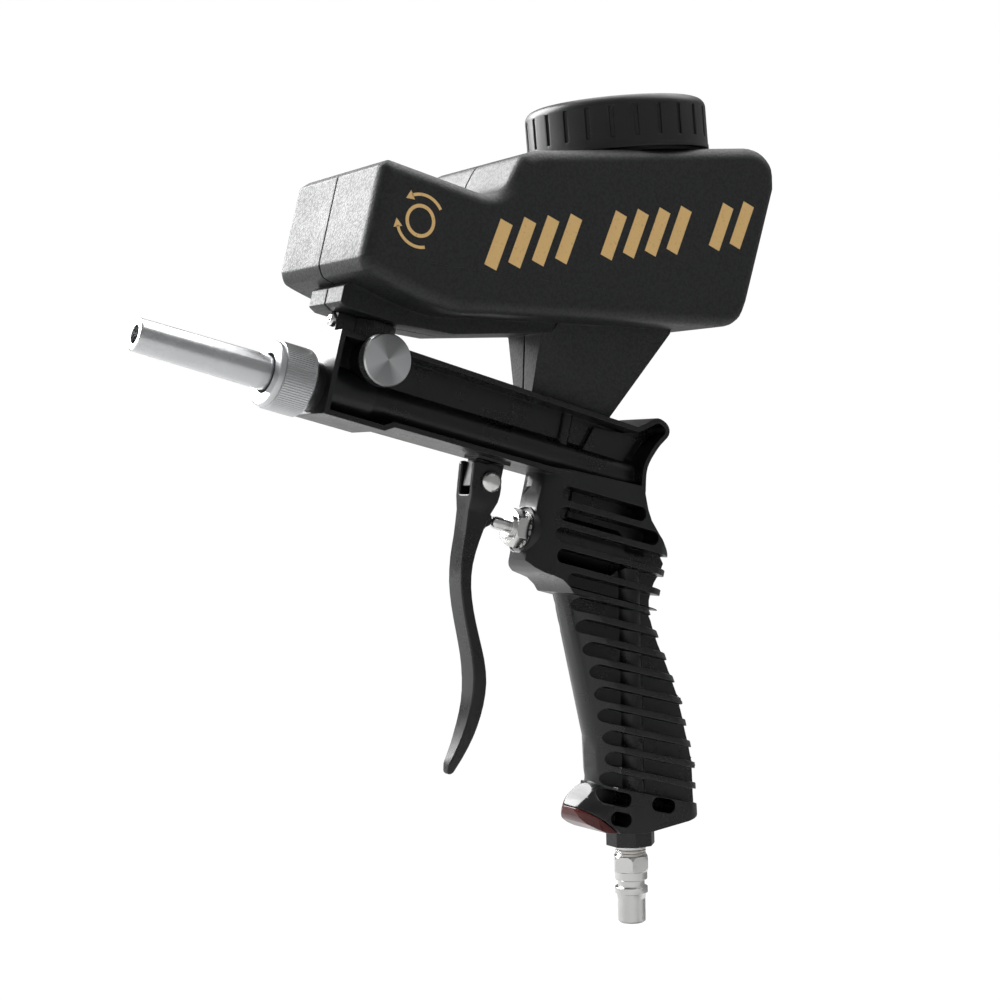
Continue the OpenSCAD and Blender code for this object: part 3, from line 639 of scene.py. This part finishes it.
class GUN_OT_nozzle_nut(bpy.types.Operator):
    """Knurled nozzle nut with a plain ring at its front"""
    bl_idname = "gun.nozzle_nut"
    bl_label = "Nozzle nut"

    def execute(self, context):
        looks = context.scene.gun_metal
        low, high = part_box("nozzle_nut")
        rim = high.z
        front, back = low.x, high.x
        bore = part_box("nozzle_tube")[1].z - 1.6 * MM
        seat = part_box("nozzle_tube")[1].z + 0.9 * MM
        step = front + 6 * MM
        band = (front + 2.6 * MM, back - 1.3 * MM)
        outline = [
            (front + 0.2 * MM, bore), (front, bore + 0.25 * MM), (front, rim - 1.3 * MM),
            (front + 0.25 * MM, rim - 0.8 * MM), (front + 0.8 * MM, rim - 0.5 * MM),
            (front + 1.9 * MM, rim - 0.45 * MM), (front + 2.1 * MM, rim - 0.75 * MM),
            (front + 2.4 * MM, rim - 0.75 * MM), (front + 2.7 * MM, rim),
            (back - 1.4 * MM, rim), (back - 0.9 * MM, rim - 0.35 * MM),
            (back - 0.3 * MM, rim - 0.7 * MM), (back, rim - 1.1 * MM), (back, seat),
            (step, seat), (step, bore)]
        nut = turned("nozzle_knurled_nut", outline, (0, 0, 0), "X", looks.knurls * 4)
        knurl(nut, (0, 0, 0), "X", looks.knurls, band, rim, looks.knurl_depth)
        hand_over(nut, "gun", finish_for("knurled_aluminium"), "turned_aluminium", "nozzle_nut")
        return {"FINISHED"}


class GUN_OT_neck(bpy.types.Operator):
    """Octagonal outlet neck with its screw"""
    bl_idname = "gun.neck"
    bl_label = "Outlet neck"

    def execute(self, context):
        neck = copy_of("outlet_neck", "neck_block")
        soften(neck, 0.4 * MM)
        hand_over(neck, "gun", finish_for("gun_plastic"), "gun_plastic", "outlet_neck")
        screw = copy_of("neck_screw", "neck_cross_screw")
        soften(screw, 0.08 * MM)
        hand_over(screw, "gun", finish_for("bright_steel"), "bright_steel", "neck_screw")
        return {"FINISHED"}


class GUN_OT_feed_knob(bpy.types.Operator):
    """Feed knob with a spun face and a finely knurled rim"""
    bl_idname = "gun.feed_knob"
    bl_label = "Feed knob"

    def execute(self, context):
        looks = context.scene.gun_metal
        low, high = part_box("feed_knob")
        centre = middle("feed_knob")
        rim = (high.x - low.x) / 2
        face, back = low.y, high.y
        bore = 3.05 * MM
        hole = face + 5 * MM
        outline = [
            (face, 0.0), (face, rim - 0.9 * MM), (face + 0.12 * MM, rim - 0.5 * MM),
            (face + 0.6 * MM, rim - 0.2 * MM), (face + 0.9 * MM, rim), (back - 0.9 * MM, rim),
            (back - 0.2 * MM, rim - 0.5 * MM), (back, rim - 0.9 * MM), (back, bore),
            (hole, bore), (hole, 0.0)]
        knob = turned("feed_knob_turned", outline, centre, "Y", looks.knob_knurls * 4)
        band = (face + 0.7 * MM, back - 0.8 * MM)
        knurl(knob, centre, "Y", looks.knob_knurls, band, rim, looks.knurl_depth * 0.7)
        hand_over(knob, "feed_valve", finish_for("spun_face"), "turned_aluminium", "feed_knob")
        return {"FINISHED"}


class GUN_OT_trigger(bpy.types.Operator):
    """Trigger lever with rounded edges, and its pin"""
    bl_idname = "gun.trigger"
    bl_label = "Trigger"

    def execute(self, context):
        lever = copy_of("trigger_lever", "trigger_blade")
        soften(lever, 0.8 * MM, 3, 30)
        hand_over(lever, "trigger", finish_for("gun_plastic"), "gun_plastic", "trigger_lever")
        pin = copy_of("trigger_pin", "trigger_rivet")
        soften(pin, 0.3 * MM, 3, 20, 60)
        hand_over(pin, "gun", finish_for("bright_steel"), "bright_steel", "trigger_pin")
        return {"FINISHED"}


class GUN_OT_air_valve(bpy.types.Operator):
    """Gland nut, serrated washer, valve stem and spring behind the trigger"""
    bl_idname = "gun.air_valve"
    bl_label = "Air valve"

    def execute(self, context):
        nut = copy_of("gland_nut", "gland_hex_nut")
        soften(nut, 0.18 * MM)
        hand_over(nut, "gun", finish_for("bright_steel"), "bright_steel", "gland_nut")
        washer = copy_of("lock_washer", "serrated_washer")
        soften(washer, 0.06 * MM)
        hand_over(washer, "gun", finish_for("bright_steel"), "bright_steel", "lock_washer")
        stem = copy_of("valve_stem", "valve_rod_stem")
        soften(stem, 0.1 * MM)
        hand_over(stem, "valve_rod", finish_for("bright_steel"), "bright_steel", "valve_stem")
        spring = copy_of("valve_spring", "coil_spring")
        shade(spring, 70)
        hand_over(spring, "valve_rod", finish_for("dark_steel"), "dark_steel", "valve_spring")
        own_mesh(spring)
        return {"FINISHED"}


INLET = Vector((190, 0, -150.5)) * MM
INLET_TILT = math.radians(15)


def thread_ring(k):
    """One turn of the plug's thread, seen between the boss and the hexagon."""
    place = INLET + Vector((math.sin(INLET_TILT), 0, -math.cos(INLET_TILT))) * (1.3 + 1.15 * k) * MM
    deselect()
    bpy.ops.mesh.primitive_torus_add(
        location=place, rotation=(0, -INLET_TILT, 0), major_segments=72, minor_segments=8,
        major_radius=6.1 * MM, minor_radius=0.42 * MM)
    activate(bpy.context.object)
    bpy.ops.object.shade_smooth()
    return settle(bpy.context.object)


class GUN_OT_inlet_plug(bpy.types.Operator):
    """Quick plug under the grip"""
    bl_idname = "gun.inlet_plug"
    bl_label = "Inlet plug"

    def execute(self, context):
        plug = copy_of("inlet_plug", "quick_plug")
        soften(plug, 0.2 * MM)
        rings = [thread_ring(k) for k in range(4)]
        plug = joined("quick_plug", [plug] + rings)
        hand_over(plug, "gun", finish_for("bright_steel"), "bright_steel", "inlet_plug")
        return {"FINISHED"}


# ---------------------------------------------------------------- hopper pieces

def hopper_half(node, name, rounding):
    """One hopper shell with a large radius along the edges of its side."""
    shell = copy_of(node, name)
    low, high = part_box(node)
    side = low.y if abs(low.y) > abs(high.y) else high.y

    def on_side_edge(edge):
        on_side = all(abs(v.co.y - side) < 0.01 * MM for v in edge.verts)
        at_wall = any(abs(f.normal.y) < 0.5 for f in edge.link_faces)
        return on_side and at_wall and away_from_screws(edge)

    del SOURCES[shell.name]
    with editing(shell, "EDGE"):
        pick(shell, "edges", on_side_edge)
        bpy.ops.mesh.bevel(offset=rounding, segments=7, affect="EDGES", clamp_overlap=False,
                           miter_outer="SHARP", loop_slide=False)
    soften(shell, 0.5 * MM, 2, 42, 42)
    return shell


def away_from_screws(edge):
    """True for an edge of the outline, false for one round a screw's hole."""
    mid = (edge.verts[0].co + edge.verts[1].co) / 2
    for place in SCREW_PLACES:
        if math.hypot(mid.x - place[0], mid.z - place[1]) < 5 * MM:
            return False
    return True


def screw_places():
    """Centres (x, z) of the hopper's screws, from their solids' loose parts."""
    mesh = frame["nodes"]["hopper_screws"].data
    heads = [v.co for v in mesh.vertices if v.co.y > 15.9 * MM]
    places = []
    for co in heads:
        near = [p for p in places if math.hypot(p[0][0] - co.x, p[0][1] - co.z) < 8 * MM]
        if near:
            near[0].append((co.x, co.z))
        else:
            places.append([(co.x, co.z)])
    return [((min(x for x, _ in p) + max(x for x, _ in p)) / 2,
             (min(z for _, z in p) + max(z for _, z in p)) / 2) for p in places]


SCREW_PLACES = screw_places()


class GUN_OT_hopper(bpy.types.Operator):
    """Both hopper shells and their screws"""
    bl_idname = "gun.hopper"
    bl_label = "Hopper"

    def execute(self, context):
        rounding = context.scene.gun_hopper.rounding
        left = hopper_half("hopper_left_shell", "hopper_left", rounding)
        hand_over(left, "gun", finish_for("hopper_plastic"), "hopper_plastic", "hopper_left_shell")
        right = hopper_half("hopper_right_shell", "hopper_right", rounding)
        hand_over(right, "gun", finish_for("hopper_plastic"), "hopper_plastic", "hopper_right_shell")
        screws = copy_of("hopper_screws", "shell_screws")
        soften(screws, 0.12 * MM)
        hand_over(screws, "gun", finish_for("bright_steel"), "bright_steel", "hopper_screws")
        return {"FINISHED"}


def flat_arc(name, centre, inner, outer, front, back, start=None, end=None):
    """A thin ring facing the side, or the part of it between two angles."""
    ring = turned(name, [(front, inner), (front, outer), (back, outer), (back, inner)], centre, "Y", 96)
    if start is None:
        return ring
    for angle, flip in ((start, -1), (end, 1)):
        away = Vector((-math.sin(angle), 0, math.cos(angle))) * flip
        with editing(ring, "VERT"):
            bpy.ops.mesh.select_all(action="SELECT")
            bpy.ops.mesh.bisect(plane_co=centre, plane_no=away, use_fill=True, clear_outer=True)
    return ring


MARK_CENTRE = (10.9 * MM, 0, 66 * MM)
MARK_RING = (5.0 * MM, 6.4 * MM)    # inner and outer radius
MARK_ARC = (9.4 * MM, 10.6 * MM)
MARK_ARROWS = ((42, 124, 128, 218), (207, 294, 203, 113))   # arc's start and end, head's place and turn
BAR_START = (46 * MM, 67.5 * MM)    # x and z of the first bar's middle
BAR_PITCH = 10.9 * MM
BAR_WIDTH = 5.8 * MM
BAR_HEIGHT = 19.5 * MM
BAR_LEAN = math.radians(30)
BAR_PLACES = (0, 1, 2, 3, 5, 6, 7, 8, 10, 11)


class GUN_OT_print(bpy.types.Operator):
    """Printed marks on the hopper's side: a ring with two arrows and a row of plain bars"""
    bl_idname = "gun.print"
    bl_label = "Print"

    def execute(self, context):
        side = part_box("hopper_left_shell")[0].y
        front, back = side - 0.06 * MM, side + 0.3 * MM
        middle_y = (front + back) / 2
        centre = Vector(MARK_CENTRE)
        marks = [flat_arc("mark_ring", centre, MARK_RING[0], MARK_RING[1], front, back)]
        for start, end, tip, heading in MARK_ARROWS:
            marks.append(flat_arc("mark_arc", centre, MARK_ARC[0], MARK_ARC[1], front, back,
                                  math.radians(start), math.radians(end)))
            angle = math.radians(tip)
            arm = (MARK_ARC[0] + MARK_ARC[1]) / 2
            place = (centre.x + arm * math.cos(angle), middle_y, centre.z + arm * math.sin(angle))
            deselect()
            bpy.ops.mesh.primitive_cylinder_add(
                vertices=3, radius=2.2 * MM, depth=back - front, location=place,
                rotation=(math.pi / 2, math.radians(90 - heading), 0))
            marks.append(settle(bpy.context.object))
        hand_over(joined("hopper_mark", marks), "gun", finish_for("print"), None)
        bars = []
        rise = math.radians(21)
        for k in BAR_PLACES:
            step = k * BAR_PITCH
            place = (BAR_START[0] + step * math.cos(rise), middle_y,
                     BAR_START[1] + step * math.sin(rise))
            deselect()
            bpy.ops.mesh.primitive_cube_add(
                size=1, location=place, scale=(BAR_WIDTH, back - front, BAR_HEIGHT),
                rotation=(0, BAR_LEAN - rise, 0))
            bars.append(settle(bpy.context.object))
        hand_over(joined("hopper_bars", bars), "gun", finish_for("print"), None)
        return {"FINISHED"}


class GUN_OT_cap(bpy.types.Operator):
    """Screw cap and collar"""
    bl_idname = "gun.cap"
    bl_label = "Filler cap"

    def execute(self, context):
        cap = copy_of("filler_cap", "screw_cap")
        soften(cap, 0.35 * MM, 2, 32, 32)
        hand_over(cap, "cap", finish_for("cap_plastic"), "cap_plastic", "filler_cap")
        collar = copy_of("filler_collar", "threaded_collar")
        soften(collar, 0.4 * MM)
        hand_over(collar, "gun", finish_for("cap_plastic"), "cap_plastic", "filler_collar")
        return {"FINISHED"}


class GUN_OT_inside(bpy.types.Operator):
    """Materials of the pieces inside the gun"""
    bl_idname = "gun.inside"
    bl_label = "Inner pieces"

    def execute(self, context):
        dress(finish_for("nozzle_brass"), "inlet_bush", "air_jet", "valve_poppet", "valve_seat",
              "spring_stop")
        dress(finish_for("turned_aluminium"), "feed_shaft")
        dress(finish_for("dark_steel"), "shaft_clip", "knob_grub_screw", "trigger_clip")
        dress(finish_for("seal_rubber"), "nozzle_gasket", "neck_seal", "shaft_seals", "poppet_seal",
              "hopper_gasket", "collar_gasket")
        dress(finish_for("packing_ptfe"), "stem_packing")
        dress(finish_for("liner_foam"), "cap_liner")
        return {"FINISHED"}


# ---------------------------------------------------------------- stage

PAPER_RADIUS = 2.6                  # flat floor, metres
SWEEP_RADIUS = 0.9                  # curve between the floor and the wall
SWEEP_STEPS = 8
PAPER_WALL = 2.5                    # height of the wall above the curve


def aim(thing, place, target):
    """Turns a light at a place towards a target."""
    thing.location = place
    thing.rotation_euler = (Vector(target) - Vector(place)).to_track_quat("-Z", "Y").to_euler()


def soft_light(name, place, target, size, power):
    data = bpy.data.lights.new(name, "AREA")
    data.shape = "RECTANGLE"
    data.size, data.size_y = size
    data.energy = power
    light = bpy.data.objects.new(name, data)
    bpy.context.scene.collection.objects.link(light)
    aim(light, place, target)
    return light


class GUN_OT_stage(bpy.types.Operator):
    """Pale backdrop, studio lights and camera"""
    bl_idname = "gun.stage"
    bl_label = "Stage"

    def execute(self, context):
        looks = context.scene.gun_stage
        scene = context.scene
        low, high = CAD_BOX
        centre = (Vector(low) + Vector(high)) / 2
        deselect()
        bpy.ops.mesh.primitive_circle_add(vertices=96, radius=PAPER_RADIUS, fill_type="NGON",
                                          location=(centre.x, centre.y, low[2] - 1 * MM))
        floor = bpy.context.object
        floor.name = "paper_sweep"
        with editing(floor, "FACE"):
            bpy.ops.mesh.select_all(action="SELECT")
            bpy.ops.mesh.inset(thickness=0.05, depth=0)
        with editing(floor, "VERT"):
            pick(floor, "verts", lambda v: math.hypot(v.co.x, v.co.y) > PAPER_RADIUS - 0.01)
            for k in range(SWEEP_STEPS):
                a = math.radians(90 * k / SWEEP_STEPS)
                b = math.radians(90 * (k + 1) / SWEEP_STEPS)
                out = (math.sin(b) - math.sin(a)) * SWEEP_RADIUS
                up = (math.cos(a) - math.cos(b)) * SWEEP_RADIUS
                reach = PAPER_RADIUS + SWEEP_RADIUS * math.sin(a)
                grow = (reach + out) / reach
                bpy.ops.mesh.extrude_region_move(TRANSFORM_OT_translate={"value": (0, 0, up)})
                bpy.ops.transform.resize(value=(grow, grow, 1), center_override=(centre.x, centre.y, 0))
            bpy.ops.mesh.extrude_region_move(TRANSFORM_OT_translate={"value": (0, 0, PAPER_WALL)})
        settle(floor)
        activate(floor)
        bpy.ops.object.shade_smooth()
        floor.data.materials.append(backdrop_paper("backdrop_paper", looks.floor))

        soft_light("back_softbox", (-0.68, 1.14, 0.72), (0.05, 0, 0.72), (1.3, 1.1), looks.back)
        soft_light("top_softbox", (0.3, 0.1, 1.25), (0.1, 0, 0.0), (1.6, 1.2), looks.top)

        world = bpy.data.worlds.new("studio")
        scene.world = world
        world.use_nodes = True
        sky = world.node_tree.nodes["Background"]
        sky.inputs["Color"].default_value = (1, 1, 1, 1)
        sky.inputs["Strength"].default_value = looks.sky

        data = bpy.data.cameras.new("camera")
        data.lens = 71.58
        data.sensor_width = 36
        data.clip_start = 0.01
        data.clip_end = 50
        camera = bpy.data.objects.new("camera", data)
        scene.collection.objects.link(camera)
        eye = Vector((-321.4, -692.9, -117.7)) * MM
        forward = Vector((0.50918, 0.85273, 0.11656)).normalized()
        right = Vector((0.82921, -0.52234, 0.19897))
        right = (right - forward * right.dot(forward)).normalized()
        up = right.cross(forward)
        turn = Matrix((right, up, -forward)).transposed()
        camera.matrix_world = Matrix.Translation(eye) @ turn.to_4x4()
        scene.camera = camera
        scene.view_settings.view_transform = "Standard"
        return {"FINISHED"}


class GUN_PT_pieces(bpy.types.Panel):
    """Lists the gun's pieces and their settings"""
    bl_label = "Sandblaster gun"
    bl_idname = "GUN_PT_pieces"
    bl_space_type = "VIEW_3D"
    bl_region_type = "UI"
    bl_category = "Blaster"

    def draw(self, context):
        for name, group in SETTINGS.items():
            box = self.layout.box()
            for setting in group.__annotations__:
                box.prop(getattr(context.scene, name), setting)
        for piece in PIECES:
            self.layout.operator(piece.bl_idname)


PIECES = [GUN_OT_body, GUN_OT_nozzle, GUN_OT_nozzle_nut, GUN_OT_neck, GUN_OT_feed_knob, GUN_OT_trigger,
          GUN_OT_air_valve, GUN_OT_inlet_plug, GUN_OT_hopper, GUN_OT_print, GUN_OT_cap,
          GUN_OT_inside, GUN_OT_stage]


def register():
    for group in SETTINGS.values():
        bpy.utils.register_class(group)
    for name, group in SETTINGS.items():
        setattr(bpy.types.Scene, name, bpy.props.PointerProperty(type=group))
    for piece in PIECES:
        bpy.utils.register_class(piece)
    bpy.utils.register_class(GUN_PT_pieces)


def unregister():
    bpy.utils.unregister_class(GUN_PT_pieces)
    for piece in reversed(PIECES):
        bpy.utils.unregister_class(piece)
    for name, group in SETTINGS.items():
        delattr(bpy.types.Scene, name)
        bpy.utils.unregister_class(group)


def main():
    register()
    for piece in PIECES:
        group, name = piece.bl_idname.split(".")
        getattr(getattr(bpy.ops, group), name)()


if __name__ == "__main__":
    main()
